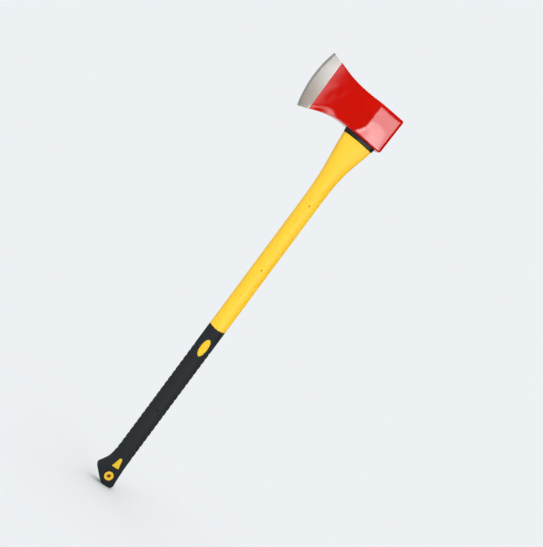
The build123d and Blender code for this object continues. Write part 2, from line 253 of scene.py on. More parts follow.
def through(knots, x):
    """A smooth curve through knots of (place, value, slope), level beyond its ends."""
    places = np.array([k[0] for k in knots])
    values = np.array([k[1] for k in knots])
    slopes = np.array([k[2] for k in knots])
    x = np.clip(x, places[0], places[-1])
    i = np.clip(np.searchsorted(places, x) - 1, 0, len(places) - 2)
    gap = places[i + 1] - places[i]
    t = (x - places[i]) / gap
    start = (1 + 2 * t) * (1 - t)**2 * values[i] + t * (1 - t)**2 * gap * slopes[i]
    end = t**2 * (3 - 2 * t) * values[i + 1] - t**2 * (1 - t) * gap * slopes[i + 1]
    return start + end


def with_slopes(places, values):
    """Knots whose slopes come from their neighbours."""
    return list(zip(places, values, np.gradient(values, places)))


def smooth(t):
    """Eases from 0 to 1 as t goes from 0 to 1."""
    t = np.clip(t, 0, 1)
    return t * t * (3 - 2 * t)


def fade(x, none, whole):
    """0 at one place and 1 at the other, eased."""
    return smooth((x - none) / (whole - none))


def rounding(radius, degrees=(30, 60, 90)):
    """Steps round a quarter circle, as (what is left of the way along, way in)."""
    for a in np.radians(degrees):
        yield radius * (1 - math.sin(a)), radius * (1 - math.cos(a))


def between(bottom, top, share):
    """An outline a share of the way from one to another."""
    return [b + (t - b) * share for b, t in zip(bottom, top)]


def all_round(count):
    """Evenly spaced angles round a circle."""
    return np.arange(count) * 2 * math.pi / count


KNOB_EDGE = with_slopes(KNOB_HEIGHTS, KNOB_EDGE_REACH)
KNOB_POLL = with_slopes(KNOB_HEIGHTS, KNOB_POLL_REACH)
ANGLES = all_round(AROUND)


def handle_section(z):
    """Reach towards the edge and the poll, half depth and end radius at height z."""
    part_way = np.clip((z - SHOULDER_START) / (SHOULDER_TOP - SHOULDER_START), 0, 1)
    edge_swell = smooth(part_way**EDGE_SWELL_POWER)
    poll_swell = smooth(part_way**POLL_SWELL_POWER)
    edge = through(KNOB_EDGE, z) + edge_swell * SHOULDER_EDGE_SWELL
    poll = through(KNOB_POLL, z) + poll_swell * SHOULDER_POLL_SWELL
    half = HALF_DEPTH + edge_swell * SHOULDER_DEPTH_SWELL
    return edge, poll, half, END_RADIUS + edge_swell * SHOULDER_RADIUS_SWELL


def oval_arcs(edge, poll, half, end_radius):
    """An oval's middle, the way from there to its end arcs' centres, and its flanks' radius."""
    reach = (poll + edge) / 2 - end_radius
    flank = (reach**2 + half**2 - end_radius**2) / (2 * (half - end_radius))
    return (poll - edge) / 2, reach, flank


def oval(edge, poll, half, end_radius, angle):
    """The point of an oval where its outward normal has the given angle from +X."""
    centre, reach, flank = oval_arcs(edge, poll, half, end_radius)
    c, s = np.cos(angle), np.sin(angle)
    on_end = np.abs(c) > reach / (flank - end_radius)
    x = np.where(on_end, np.sign(c) * reach + end_radius * c, flank * c)
    y = np.where(on_end, end_radius * s, flank * s - np.sign(s) * (flank - half))
    return centre + x, y


def half_depth_at(x, z):
    """Half the handle's thickness at a place in its side view."""
    edge, poll, half, end_radius = handle_section(z)
    centre, reach, flank = oval_arcs(edge, poll, half, end_radius)
    x = np.abs(x - centre)
    on_end = x > flank * reach / (flank - end_radius)
    end_part = np.sqrt(np.maximum(end_radius**2 - (x - reach)**2, 0))
    return np.where(on_end, end_part, np.sqrt(np.maximum(flank**2 - x**2, 0)) - (flank - half))


def groove_depth(x, z):
    """How deep the finger grooves are at a place in the side view."""
    turn = (z - GROOVE_FIRST) / GROOVE_PITCH
    nearest = np.clip(np.round(turn), 0, GROOVE_COUNT - 1)
    away = np.abs(turn - nearest) * GROOVE_PITCH
    across = smooth(1 - (away - GROOVE_FLOOR * GROOVE_WIDTH) / (GROOVE_WALL * GROOVE_WIDTH))
    return GROOVE_DEPTH * across * fade(np.abs(x), GROOVE_START, GROOVE_FULL)


def ring(sheet):
    """Points round the handle where a sheet z = sheet(x) cuts it."""
    z = sheet(np.zeros(AROUND))
    for _ in range(RING_PASSES):
        x, y = oval(*handle_section(z), ANGLES)
        z = sheet(x)
    return np.stack([x, y, z], -1)


def oval_ring(width, depth, end_radius):
    """Points x and y round an oval."""
    return oval(width / 2, width / 2, depth / 2, end_radius, ANGLES)


def inward(points, distance):
    """Moves a ring's points in from the handle's surface, in plan."""
    normal = np.stack([np.cos(ANGLES), np.sin(ANGLES), np.zeros(AROUND)], -1)
    return points - normal * np.reshape(distance, (-1, 1))


def face_loop(side, centre_z, reach, angle, surface, down=0.0):
    """A loop round a height on one face of the handle, a way down from a surface."""
    x = reach * np.cos(angle)
    z = centre_z + reach * np.sin(angle)
    return np.stack([x, side * (surface(x, z) - down), z], -1)


# Mesh building ----------------------------------------------------------------------------

class Shell:
    """A closed surface being built from rows of points joined by quads."""

    def __init__(self, rows):
        self.rows = np.array(rows)
        self.count = self.rows.shape[1]
        self.points = [tuple(p) for p in self.rows.reshape(-1, 3)]
        self.left_out = set()
        self.faces = []

    def index(self, row, column):
        return row * self.count + column % self.count

    def add_loop(self, points):
        start = len(self.points)
        self.points += [tuple(p) for p in points]
        return list(range(start, len(self.points)))

    def bridge(self, loop, other):
        for k in range(len(loop)):
            n = (k + 1) % len(loop)
            self.faces.append((loop[k], loop[n], other[n], other[k]))

    def fan(self, loop, point):
        centre = self.add_loop([point])[0]
        for k in range(len(loop)):
            self.faces.append((loop[k], loop[(k + 1) % len(loop)], centre))

    def join_rows(self, closed=False):
        last = len(self.rows) if closed else len(self.rows) - 1
        for row in range(last):
            for column in range(self.count):
                if (row, column) in self.left_out:
                    continue
                after = (row + 1) % len(self.rows)
                self.faces.append((
                    self.index(row, column), self.index(row, column + 1),
                    self.index(after, column + 1), self.index(after, column),
                ))

    def cap(self, row):
        """Closes an end row with quads across the middle plane."""
        half = self.count // 2
        for k in range(half):
            corners = [self.index(row, k), self.index(row, k + 1),
                       self.index(row, -k - 1), self.index(row, -k)]
            self.faces.append(tuple(dict.fromkeys(corners)))

    def close(self):
        """Joins the rows and caps both ends."""
        self.join_rows()
        self.cap(0)
        self.cap(len(self.rows) - 1)

    def block(self, centre_z, radius_at, margin):
        """Rows and columns on the +Y side that clear a window by about two cells."""
        angle = all_round(OUTLINE_SAMPLES)
        radius = radius_at(angle)
        half_width = np.abs(radius * np.cos(angle)).max() + margin
        half_height = np.abs(radius * np.sin(angle)).max() + margin
        quarter = self.count // 4
        heights = self.rows[:, quarter, 2]
        rows = np.nonzero(np.abs(heights - centre_z) <= half_height)[0]
        middle = rows[len(rows) // 2]
        columns = np.nonzero(np.abs(self.rows[middle, :2 * quarter, 0]) <= half_width)[0]
        return rows[0] - 1, rows[-1] + 1, columns[0] - 1, columns[-1] + 1

    def border(self, block, side):
        """The points round a block, in the same order on both sides of the handle."""
        row0, row1, column0, column1 = block
        path = [(row0, c) for c in range(column0, column1)]
        path += [(r, column1) for r in range(row0, row1)]
        path += [(row1, c) for c in range(column1, column0, -1)]
        path += [(r, column0) for r in range(row1, row0, -1)]
        return [self.index(r, c if side > 0 else -c) for r, c in path]

    def leave_out(self, block):
        row0, row1, column0, column1 = block
        for row in range(row0, row1):
            for column in range(column0, column1):
                self.left_out.add((row, column))
                self.left_out.add((row, self.count - 1 - column))

    def open_window(self, centre_z, radius_at, surface, margin, depth=None, rim=WINDOW_ROUNDING):
        """Cuts a window in both faces, down to a depth, or right through for None."""
        block = self.block(centre_z, radius_at, margin)
        self.leave_out(block)
        floors = []
        for side in (1, -1):
            loop = self.border(block, side)
            x, _, z = np.array([self.points[k] for k in loop]).T
            angle = np.arctan2(z - centre_z, x)
            away = np.hypot(x, z - centre_z)
            outline = radius_at(angle)
            steps = [(away + (outline + rim - away) * part, 0.0) for part in WINDOW_PARTS]
            steps += [(outline + to_go, way_in) for to_go, way_in in rounding(rim)]
            if depth is not None:
                steps.append((outline, depth))
            for reach, down in steps:
                points = face_loop(side, centre_z, reach, angle, surface, down)
                after = self.add_loop(points)
                self.bridge(loop, after)
                loop = after
            if depth is not None:
                self.fan(loop, (0.0, float(np.mean(points[:, 1])), centre_z))
            floors.append(loop)
        if depth is None:
            self.bridge(*floors)

    def make(self, name, materials, sharp_degrees=SHARP_DEGREES):
        """Turns the surface into an object."""
        mesh = bpy.data.meshes.new(name)
        mesh.from_pydata([Vector(p) * MM for p in self.points], [], self.faces)
        build = bmesh.new()
        build.from_mesh(mesh)
        bmesh.ops.remove_doubles(build, verts=build.verts, dist=WELD)
        loose = [v for v in build.verts if not v.link_faces]
        bmesh.ops.delete(build, geom=loose, context="VERTS")
        bmesh.ops.recalc_face_normals(build, faces=build.faces)
        build.to_mesh(mesh)
        build.free()
        mesh.shade_smooth()
        mesh.set_sharp_from_angle(angle=math.radians(sharp_degrees))
        for material in materials:
            mesh.materials.append(material)
        return add_object(name, mesh)


def add_object(name, data):
    obj = bpy.data.objects.new(name, data)
    bpy.context.scene.collection.objects.link(obj)
    return obj


def from_head(u, y, w):
    """Turns places in the head's own frame into places on the axe."""
    x = SEAT[0] + u * math.cos(HANG) + w * math.sin(HANG)
    z = SEAT[1] - u * math.sin(HANG) + w * math.cos(HANG)
    return np.stack(np.broadcast_arrays(x, y, z), -1)


def head_ring(outline, w, out):
    """Points round an oval in the head's own frame, a way out from its outline."""
    width, depth, end_radius = outline
    u, y = oval_ring(width + 2 * out, depth + 2 * out, end_radius + out)
    return from_head(u, y, np.full(AROUND, w))


def seat_plane(w):
    """The sheet z = f(x) of a plane parallel to the head's underside."""
    return lambda x: SEAT[1] - (x - SEAT[0]) * math.tan(HANG) + w / math.cos(HANG)


# Materials --------------------------------------------------------------------------------

class Tree:
    """Short calls for building the node tree of a material or the world."""

    def __init__(self, owner):
        owner.use_nodes = True
        self.tree = owner.node_tree

    def link(self, source, target):
        """Links an output to an input, or gives the input a plain value."""
        if hasattr(source, "links"):
            self.tree.links.new(source, target)
        else:
            target.default_value = source

    def add(self, kind, inputs=(), **settings):
        node = self.tree.nodes.new(kind)
        for key, value in settings.items():
            setattr(node, key, value)
        for key, value in dict(inputs).items():
            self.link(value, node.inputs[key])
        return node

    def remap(self, value, low, high, to_low=0.0, to_high=1.0, smoothly=False):
        inputs = {"Value": value, "From Min": low, "From Max": high,
                  "To Min": to_low, "To Max": to_high}
        kind = "SMOOTHSTEP" if smoothly else "LINEAR"
        return self.add("ShaderNodeMapRange", inputs, interpolation_type=kind).outputs["Result"]

    def math(self, operation, *values):
        inputs = dict(enumerate(values))
        return self.add("ShaderNodeMath", inputs, operation=operation).outputs["Value"]

    def mix_shaders(self, *inputs):
        return self.add("ShaderNodeMixShader", enumerate(inputs)).outputs[0]


class Nodes(Tree):
    """A material's node tree, with the textures that the finishes here are made of."""

    def __init__(self, name):
        self.material = bpy.data.materials.new(name)
        super().__init__(self.material)
        self.shader = self.tree.nodes["Principled BSDF"]
        self.position = self.add("ShaderNodeTexCoord").outputs["Object"]

    def stretched(self, scale, rotation=(0, 0, 0)):
        inputs = {"Vector": self.position, "Scale": scale, "Rotation": rotation}
        return self.add("ShaderNodeMapping", inputs).outputs["Vector"]

    def noise(self, scale, detail=3.0, roughness=0.5, vector=None, distortion=0.0):
        inputs = {"Vector": vector or self.position, "Scale": scale, "Detail": detail,
                  "Roughness": roughness, "Distortion": distortion}
        return self.add("ShaderNodeTexNoise", inputs).outputs["Fac"]

    def cells(self, scale, vector=None):
        """Distance from the nearest of many scattered points."""
        inputs = {"Vector": vector or self.position, "Scale": scale}
        return self.add("ShaderNodeTexVoronoi", inputs, feature="F1").outputs["Distance"]

    def mix(self, factor, *colours):
        first, second = [c if hasattr(c, "links") else (*c, 1.0) for c in colours]
        inputs = {"Factor": factor, 6: first, 7: second}
        return self.add("ShaderNodeMix", inputs, data_type="RGBA").outputs[2]

    def axis(self, name):
        return self.add("ShaderNodeSeparateXYZ", {"Vector": self.position}).outputs[name]

    def bump(self, height, strength, distance, normal=None):
        inputs = {"Height": height, "Strength": strength, "Distance": distance}
        if normal is not None:
            inputs["Normal"] = normal
        return self.add("ShaderNodeBump", inputs).outputs["Normal"]

    def set(self, **values):
        for key, value in values.items():
            socket = self.shader.inputs[key.replace("_", " ")]
            if isinstance(value, tuple) and len(value) == 3 and socket.type == "RGBA":
                value = (*value, 1.0)
            self.link(value, socket)


def red_enamel():
    """Glossy enamel over forged steel: the forging's waviness bends its reflections."""
    n = Nodes("red_enamel")
    patches = n.noise(18.0, 4.0, 0.55)
    colour = n.mix(n.remap(patches, 0.35, 0.65), (0.51, 0.0030, 0.0002), (0.57, 0.0045, 0.0003))
    specks = n.remap(n.noise(900.0, 2.0), 0.66, 0.72)
    colour = n.mix(n.math("MULTIPLY", specks, 0.2), colour, (0.40, 0.003, 0.001))
    waviness = n.bump(n.noise(24.0, 1.0, 0.4, distortion=0.5), 0.5, 0.0007)
    peel = n.bump(n.noise(320.0, 1.0, 0.4), 0.04, 0.0001, waviness)
    n.set(Base_Color=colour, Roughness=n.remap(patches, 0.3, 0.7, 0.40, 0.50), Normal=peel,
          Specular_IOR_Level=0.02, Coat_Weight=1.0, Coat_Roughness=0.05, Coat_IOR=1.55, IOR=1.5)
    n.link(peel, n.shader.inputs["Coat Normal"])
    return n.material


def ground_steel():
    """Bare blade steel, belt-ground towards the edge and lightly honed along it, with a painted
    highlight towards its top.
    """
    n = Nodes("ground_steel")
    streaks = n.noise(1.0, 5.0, 0.65, n.stretched((60.0, 60.0, 2600.0)))
    broad = n.noise(26.0, 3.0, 0.5)
    # Painted highlight: towards the top of the ground face the colour turns pale, standing in for
    # the bright reflection there, and the roughness drops a little under it.
    height = n.math("ADD", n.axis("Z"), n.remap(broad, 0.3, 0.7, -0.004, 0.004))
    toe = n.remap(height, 0.815, 0.895, smoothly=True)
    colour = n.mix(n.remap(streaks, 0.3, 0.7), (0.385, 0.345, 0.31), (0.48, 0.43, 0.39))
    colour = n.mix(n.remap(broad, 0.35, 0.75), colour, (0.42, 0.37, 0.325))
    colour = n.mix(n.math("MULTIPLY", toe, 0.75), colour, (0.93, 0.90, 0.87))
    lines = n.bump(streaks, 0.25, 0.00008)
    gloss_under_highlight = n.math("MULTIPLY", toe, 0.03)
    n.set(Base_Color=colour, Metallic=1.0,
          Roughness=n.math("SUBTRACT", n.remap(streaks, 0.2, 0.8, 0.30, 0.44), gloss_under_highlight),
          Normal=n.bump(broad, 0.03, 0.0002, lines), Anisotropic=0.35)
    return n.material


def honed_steel():
    """The narrow secondary bevel, darker and finer than the ground face."""
    n = Nodes("honed_steel")
    streaks = n.noise(1.0, 4.0, 0.6, n.stretched((900.0, 900.0, 120.0)))
    colour = n.mix(n.remap(streaks, 0.3, 0.7), (0.30, 0.30, 0.28), (0.44, 0.43, 0.40))
    n.set(Base_Color=colour, Metallic=1.0, Roughness=n.remap(streaks, 0.2, 0.8, 0.30, 0.44),
          Normal=n.bump(streaks, 0.2, 0.00005))
    return n.material


def yellow_plastic(name, deep, pale, roughness, specular):
    """Moulded yellow polymer with a faint flow pattern and a satin surface."""
    n = Nodes(name)
    flow = n.noise(1.0, 3.0, 0.5, n.stretched((60.0, 60.0, 9.0)))
    grain = n.noise(1500.0, 2.0, 0.5)
    colour = n.mix(n.remap(flow, 0.3, 0.7), deep, pale)
    marks = n.noise(1.0, 6.0, 0.7, n.stretched((420.0, 420.0, 60.0), (0.3, 0.5, 0.2)))
    scuffs = n.remap(marks, 0.68, 0.74)
    scuffed = tuple(0.9 * tone + 0.03 for tone in pale)
    colour = n.mix(n.math("MULTIPLY", scuffs, 0.4), colour, scuffed)
    skin = n.bump(grain, 0.18, 0.00006)
    n.set(Base_Color=colour, Normal=n.bump(flow, 0.10, 0.0001, skin),
          Roughness=n.remap(flow, 0.3, 0.7, roughness - 0.04, roughness + 0.04),
          IOR=1.5, Specular_IOR_Level=specular,
          Subsurface_Weight=0.15, Subsurface_Scale=0.003)
    n.shader.inputs["Subsurface Radius"].default_value = (1.0, 0.6, 0.1)
    return n.material


def black_rubber(name, tone, roughness, specular):
    """Moulded rubber with a fine spark-eroded texture and a trace of bloom."""
    n = Nodes(name)
    bloom = n.noise(38.0, 5.0, 0.6)
    dark = tuple(0.82 * t for t in tone)
    light = tuple(1.25 * t for t in tone)
    colour = n.mix(n.remap(bloom, 0.3, 0.7), dark, light)
    texture = n.bump(n.cells(1600.0), 0.35, 0.00012)
    n.set(Base_Color=colour, Normal=n.bump(n.noise(700.0, 3.0), 0.25, 0.0001, texture),
          Roughness=n.remap(bloom, 0.3, 0.7, roughness - 0.05, roughness + 0.05),
          IOR=1.5, Specular_IOR_Level=specular)
    return n.material


def cast_resin():
    """Amber epoxy, slightly cloudy, with a few trapped bubbles."""
    n = Nodes("cast_resin")
    cloud = n.noise(120.0, 4.0, 0.6)
    colour = n.mix(n.remap(cloud, 0.3, 0.7), (0.16, 0.075, 0.022), (0.30, 0.16, 0.05))
    pits = n.remap(n.cells(420.0), 0.0, 0.28, 1.0, 0.0, smoothly=True)
    n.set(Base_Color=n.mix(n.math("MULTIPLY", pits, 0.5), colour, (0.42, 0.27, 0.12)),
          Roughness=n.remap(cloud, 0.3, 0.7, 0.18, 0.32),
          Normal=n.bump(n.math("ADD", n.math("MULTIPLY", pits, -0.6), cloud), 0.35, 0.0004),
          IOR=1.55, Coat_Weight=0.4, Coat_Roughness=0.08)
    return n.material


def glass_fibre():
    """The sawn end of a pultruded bar: pale matrix dotted with cut rovings."""
    n = Nodes("glass_fibre")
    rovings = n.cells(1100.0, n.stretched((1.0, 1.0, 0.05)))
    spread = n.noise(160.0, 3.0, 0.5)
    colour = n.mix(n.remap(rovings, 0.1, 0.7), (0.62, 0.58, 0.40), (0.36, 0.33, 0.20))
    colour = n.mix(n.remap(spread, 0.35, 0.7), colour, (0.50, 0.46, 0.30))
    n.set(Base_Color=colour, Roughness=n.remap(spread, 0.3, 0.7, 0.5, 0.7),
          Normal=n.bump(rovings, 0.4, 0.00015))
    return n.material


RED = red_enamel()
STEEL = ground_steel()
HONED = honed_steel()
YELLOW = yellow_plastic(
    "yellow_plastic", (0.93, 0.565, 0.020), (0.95, 0.60, 0.028), 0.5, 0.4)
# The jacket's yellow made darker and duller for its parts seen through the grip's windows:
# painted shade on the same plastic
SHADED_ISLAND_YELLOW = yellow_plastic(
    "shaded_island_yellow", (0.81, 0.505, 0.010), (0.84, 0.54, 0.014), 0.55, 0.3)
# The jacket's yellow made darker and redder for the inside of the hanging hole: painted shade in
# the bore
SHADED_BORE_YELLOW = yellow_plastic(
    "shaded_bore_yellow", (0.66, 0.30, 0.004), (0.76, 0.38, 0.008), 0.7, 0.05)
GRIP_BLACK = black_rubber("grip_rubber", (0.0145, 0.0175, 0.0200), 0.7, 0.2)
COLLAR_BLACK = black_rubber("collar_rubber", (0.004, 0.0045, 0.005), 0.40, 0.25)
RESIN = cast_resin()
FIBRE = glass_fibre()


# Grip -------------------------------------------------------------------------------------

def grip_top_rise(x):
    """How far the sleeve's curved top line stands above its middle."""
    radius = (HALF_WIDTH**2 + GRIP_TOP_DIP**2) / (2 * GRIP_TOP_DIP)
    return radius - np.sqrt(np.maximum(radius**2 - x**2, 0))


def butt(x):
    """Height of the butt's flat end and of the oblique cut under its tip."""
    slope = KNOB_TIP[1] / (KNOB_TIP[0] - BUTT_HEEL_X)
    return BUTT_SOFTNESS * np.log1p(np.exp(slope * (x - BUTT_HEEL_X) / BUTT_SOFTNESS))


def knob_sheets():
    """From above the butt's rounded rim up to the first level row."""
    for part in np.linspace(1, 0, KNOB_ROWS, endpoint=False):
        yield lambda x: (1 - part) * KNOB_SHEETS_TOP + part * (butt(x) + KNOB_ROUNDING)


def grooved_heights():
    """Level rows, closer together where a groove's walls are steep."""
    heights = [KNOB_SHEETS_TOP]
    for groove in range(GROOVE_COUNT):
        heights += [GROOVE_FIRST + groove * GROOVE_PITCH + offset for offset in GROOVE_ROWS]
    return heights


def top_sheet(height):
    """A row of the grip's top, which bends to the curved top line the nearer it is."""
    bend = fade(height, GRIP_BEND_START, GRIP_TOP - GRIP_TOP_DIP - SEAM)
    return lambda x: height + bend * grip_top_rise(x)


def rolled_butt():
    """Rows round the butt's rim, from its end face out to the handle's surface."""
    corner = ring(butt)
    upper = ring(lambda x: butt(x) + KNOB_ROUNDING)
    inner = inward(corner, KNOB_ROUNDING)
    inner[:, 2] = butt(inner[:, 0])
    rows = []
    for t in KNOB_ROUNDING_STEPS:
        shares = (1 - t)**2, math.sqrt(2) * t * (1 - t), t**2
        row = shares[0] * upper + shares[1] * corner + shares[2] * inner
        rows.append(row / sum(shares))
    return rows


def seam_rows(sheet, direction):
    """A small rounding at a seam: direction is 1 where the piece lies below the seam."""
    return [inward(ring(lambda x: sheet(x) + direction * (SEAM - to_go)), way_in)
            for to_go, way_in in rounding(SEAM)]


def ellipse_radius(angle):
    a, b = ELLIPSE
    return a * b / np.hypot(b * np.cos(angle), a * np.sin(angle))


def boss_radius(angle):
    return np.full_like(angle, BOSS_RADIUS)


def pin_radius(angle):
    return np.full_like(angle, PIN_RADIUS)


def arch_radius(angle):
    """Distance from the arch's centre to its outline, with softened lower corners."""
    x, z = np.cos(angle), np.sin(angle)
    top_z = ARCH_TOP_Z - ARCH_TOP_RADIUS
    top_centre = top_z - ARCH_CENTRE_Z
    lean = math.atan2(ARCH_HALF_WIDTH - ARCH_TOP_RADIUS, top_z - ARCH_BOTTOM_Z)
    flank_reach = ARCH_TOP_RADIUS + top_centre * math.sin(lean)
    to_flank = np.abs(x) * math.cos(lean) + z * math.sin(lean)
    limits = [(-z, ARCH_CENTRE_Z - ARCH_BOTTOM_Z), (to_flank, flank_reach)]
    total = sum((np.maximum(share, TINY) / limit)**ARCH_CORNER_POWER for share, limit in limits)
    straight = total**(-1 / ARCH_CORNER_POWER)
    top = z * top_centre + np.sqrt(np.maximum(ARCH_TOP_RADIUS**2 - (x * top_centre)**2, 0))
    on_top = (z > 0) & (straight * z > top_centre + ARCH_TOP_RADIUS * math.sin(lean))
    return np.where(on_top, top, straight)


def grip_surface(x, z):
    return half_depth_at(x, z) - groove_depth(x, z)


def make_grip():
    rows = rolled_butt()
    rows += [ring(sheet) for sheet in knob_sheets()]
    for height in grooved_heights():
        points = ring(lambda x: np.full(AROUND, height))
        rows.append(inward(points, groove_depth(points[:, 0], points[:, 2])))
    start = grooved_heights()[-1] + GROOVE_LAST_GAP
    top = GRIP_TOP - GRIP_TOP_DIP - SEAM
    rows += [ring(top_sheet(height)) for height in np.linspace(start, top, GRIP_TOP_ROWS)]
    rows += seam_rows(top_sheet(top), 1)
    shell = Shell(rows)
    shell.open_window(ELLIPSE_Z, ellipse_radius, grip_surface, margin=1.6)
    shell.open_window(ARCH_CENTRE_Z, arch_radius, grip_surface, margin=1.2)
    shell.open_window(HOLE_Z, boss_radius, grip_surface, margin=1.4)
    shell.open_window(GRIP_PIN, pin_radius, grip_surface, margin=1.6,
                      depth=GRIP_PIN_DEPTH, rim=PIN_ROUNDING)
    shell.close()
    return shell.make("grip", [GRIP_BLACK])


# Yellow handle ----------------------------------------------------------------------------

def island_loops(centre_z, radius_at, side, angle):
    """Loops of an island from inside the handle up over its rim."""
    steps = [(0.0, ISLAND_DEPTH), (0.0, WINDOW_ROUNDING)]
    steps += [(way_in, to_go) for to_go, way_in in rounding(WINDOW_ROUNDING)]
    wall = radius_at(angle) - WINDOW_GAP
    return [face_loop(side, centre_z, wall - way_in, angle, half_depth_at, down)
            for way_in, down in steps]


def make_island(name, centre_z, radius_at):
    """A place where the yellow jacket shows through a window on both faces."""
    angle = all_round(ISLAND_AROUND)
    top = radius_at(angle) - WINDOW_GAP - WINDOW_ROUNDING
    halves = []
    for side in (1, -1):
        loops = island_loops(centre_z, radius_at, side, angle)
        for share in ISLAND_SHARES:
            loops.append(face_loop(side, centre_z, top * share, angle, half_depth_at))
        halves.append(loops)
    shell = Shell(halves[1][::-1] + halves[0])
    shell.join_rows()
    for row, side in ((0, -1), (len(shell.rows) - 1, 1)):
        loop = [shell.index(row, k) for k in range(ISLAND_AROUND)]
        shell.fan(loop, (0.0, side * float(half_depth_at(0.0, centre_z)), centre_z))
    # The islands take the darker yellow, painted shade
    return shell.make(name, [SHADED_ISLAND_YELLOW])


def make_boss():
    """The hanging hole's boss: a spool with a dished, chamfered mouth on each face."""
    angle = all_round(ISLAND_AROUND)
    halves = []
    for side in (1, -1):
        loops = island_loops(HOLE_Z, boss_radius, side, angle)
        for radius, down in BOSS_STEPS:
            loops.append(face_loop(side, HOLE_Z, radius, angle, half_depth_at, down))
        halves.append(loops)
    shell = Shell(halves[0] + halves[1][::-1])
    shell.join_rows(closed=True)
    boss = shell.make("hanging_boss", [YELLOW, SHADED_BORE_YELLOW])
    # The bore's faces take the darker yellow, painted shade inside the hole
    for polygon in boss.data.polygons:
        x, _, z = polygon.center / MM
        if math.hypot(x, z - HOLE_Z) < BORE_SHADE_RADIUS:
            polygon.material_index = 1
    return boss


def handle_sheet(height):
    """A row between the seam at the grip and the collar, tilting to the head's seat."""
    seam = GRIP_TOP - GRIP_TOP_DIP
    top = SEAT[1] - COLLAR_HEIGHT
    bend = 1 - smooth((height - seam - SEAM) / (HANDLE_BEND_END - seam))
    tilt = fade(height, HANDLE_TILT_START, top) * math.tan(HANG)
    return lambda x: height + bend * grip_top_rise(x) - tilt * (x - SEAT[0])


def make_handle():
    start = GRIP_TOP - GRIP_TOP_DIP + SEAM
    top = SEAT[1] - COLLAR_HEIGHT - LAST_ROW_GAP
    heights = [*np.arange(start, SHOULDER_START, HANDLE_ROW_GAP),
               *np.arange(SHOULDER_START, top, SHOULDER_ROW_GAP)]
    first = handle_sheet(start)
    rows = [inward(ring(lambda x: first(x) - below), NECK[1]) for below in (NECK[0], SEAM)]
    rows += seam_rows(first, -1)[::-1]
    rows += [ring(handle_sheet(height)) for height in heights]
    under_collar = seat_plane(-COLLAR_HEIGHT)
    for to_go, way_in in rounding(SHOULDER_RIM, (0, 30, 60, 90)):
        rows.append(inward(ring(lambda x: under_collar(x) - to_go), way_in))
    shell = Shell(rows)
    for height in JACKET_PINS:
        shell.open_window(height, pin_radius, half_depth_at, margin=2.4,
                          depth=JACKET_PIN_DEPTH, rim=PIN_ROUNDING)
    shell.close()
    return shell.make("handle", [YELLOW])


def make_tang():
    """The jacket's tang, seen at the top of the eye round the core's end."""
    rows = [head_ring(TANG, w, out) for w, out in TANG_STEPS]
    x, y = oval_ring(*CORE)
    for w in (TANG_TOP, HIDDEN_W):
        rows.append(np.stack([x, y, seat_plane(w)(x)], -1))
    shell = Shell(rows)
    shell.join_rows(closed=True)
    return shell.make("tang", [YELLOW])


# Collar -----------------------------------------------------------------------------------

def make_collar():
    """Rubber gasket: rounded, wider at the top and bulging a little from being squeezed."""
    lower = rounding(COLLAR_ROUNDING, (90, 60, 30, 0))
    upper = rounding(COLLAR_TOP_ROUNDING, (0, 30, 60, 90))
    steps = [(-COLLAR_HEIGHT, -COLLAR_FACE)]
    steps += [(to_go - COLLAR_HEIGHT, -way_in) for to_go, way_in in lower]
    steps += COLLAR_BULGE
    steps += [(-to_go, -way_in) for to_go, way_in in upper]
    steps.append((0.0, -COLLAR_FACE))
    shell = Shell([head_ring(between(COLLAR_BOTTOM, COLLAR_TOP, 1 + w / COLLAR_HEIGHT), w, out)
                   for w, out in steps])
    shell.close()
    return shell.make("collar", [COLLAR_BLACK])


# Head -------------------------------------------------------------------------------------

def edge_circle():
    """Centre and radius of the cutting edge's arc."""
    (ax, az), (bx, bz), (cx, cz) = TOE, EDGE_APEX, HEEL
    rows = np.array([[bx - ax, bz - az], [cx - ax, cz - az]]) * 2
    right = np.array([bx**2 + bz**2 - ax**2 - az**2, cx**2 + cz**2 - ax**2 - az**2])
    centre = np.linalg.solve(rows, right)
    return centre, math.hypot(ax - centre[0], az - centre[1])


EDGE_CENTRE, EDGE_RADIUS = edge_circle()


def border_heights(u):
    """Heights of the head's underside and top at a distance u."""
    return through(UNDERSIDE_KNOTS, -u), through(TOP_KNOTS, -u)


def arc_on_borders(radius):
    """Where an arc parallel to the cutting edge meets the underside and the top."""
    ends = []
    for which, (_, w) in enumerate((HEEL, TOE)):
        for _ in range(BORDER_PASSES):
            u = EDGE_CENTRE[0] - math.sqrt(radius**2 - (w - EDGE_CENTRE[1])**2)
            w = float(border_heights(u)[which])
        ends.append((u, w))
    return ends


def arc_station(radius):
    """Points along an arc parallel to the cutting edge, from heel to toe."""
    ends = [HEEL, TOE] if radius == EDGE_RADIUS else arc_on_borders(radius)
    low, high = [math.atan2(w - EDGE_CENTRE[1], EDGE_CENTRE[0] - u) for u, w in ends]
    angle = np.linspace(low, high, STATION_POINTS)
    u = EDGE_CENTRE[0] - radius * np.cos(angle)
    return np.stack([u, EDGE_CENTRE[1] + radius * np.sin(angle)], -1)


def line_station(along, back=None):
    """Points up a line across the head, leaning more the nearer it is to the ground face.

    back is the distance from the poll's face, where the line's ends follow rounded corners.
    """
    lean = math.tan(GRIND_LEAN * float(fade(along, LEAN_START, GRIND_X)))
    ends = []
    for which, radius in enumerate(POLL_CORNERS):
        u = along
        for _ in range(BORDER_PASSES):
            w = float(border_heights(u)[which])
            u = along - w * lean
        if back is not None:
            rise = radius - math.sqrt(radius**2 - max(radius - back, 0)**2)
            w += (rise, -rise)[which]
        ends.append((u, w))
    t = np.linspace(0, 1, STATION_POINTS)[:, None]
    return (1 - t) * np.array(ends[0]) + t * np.array(ends[1])


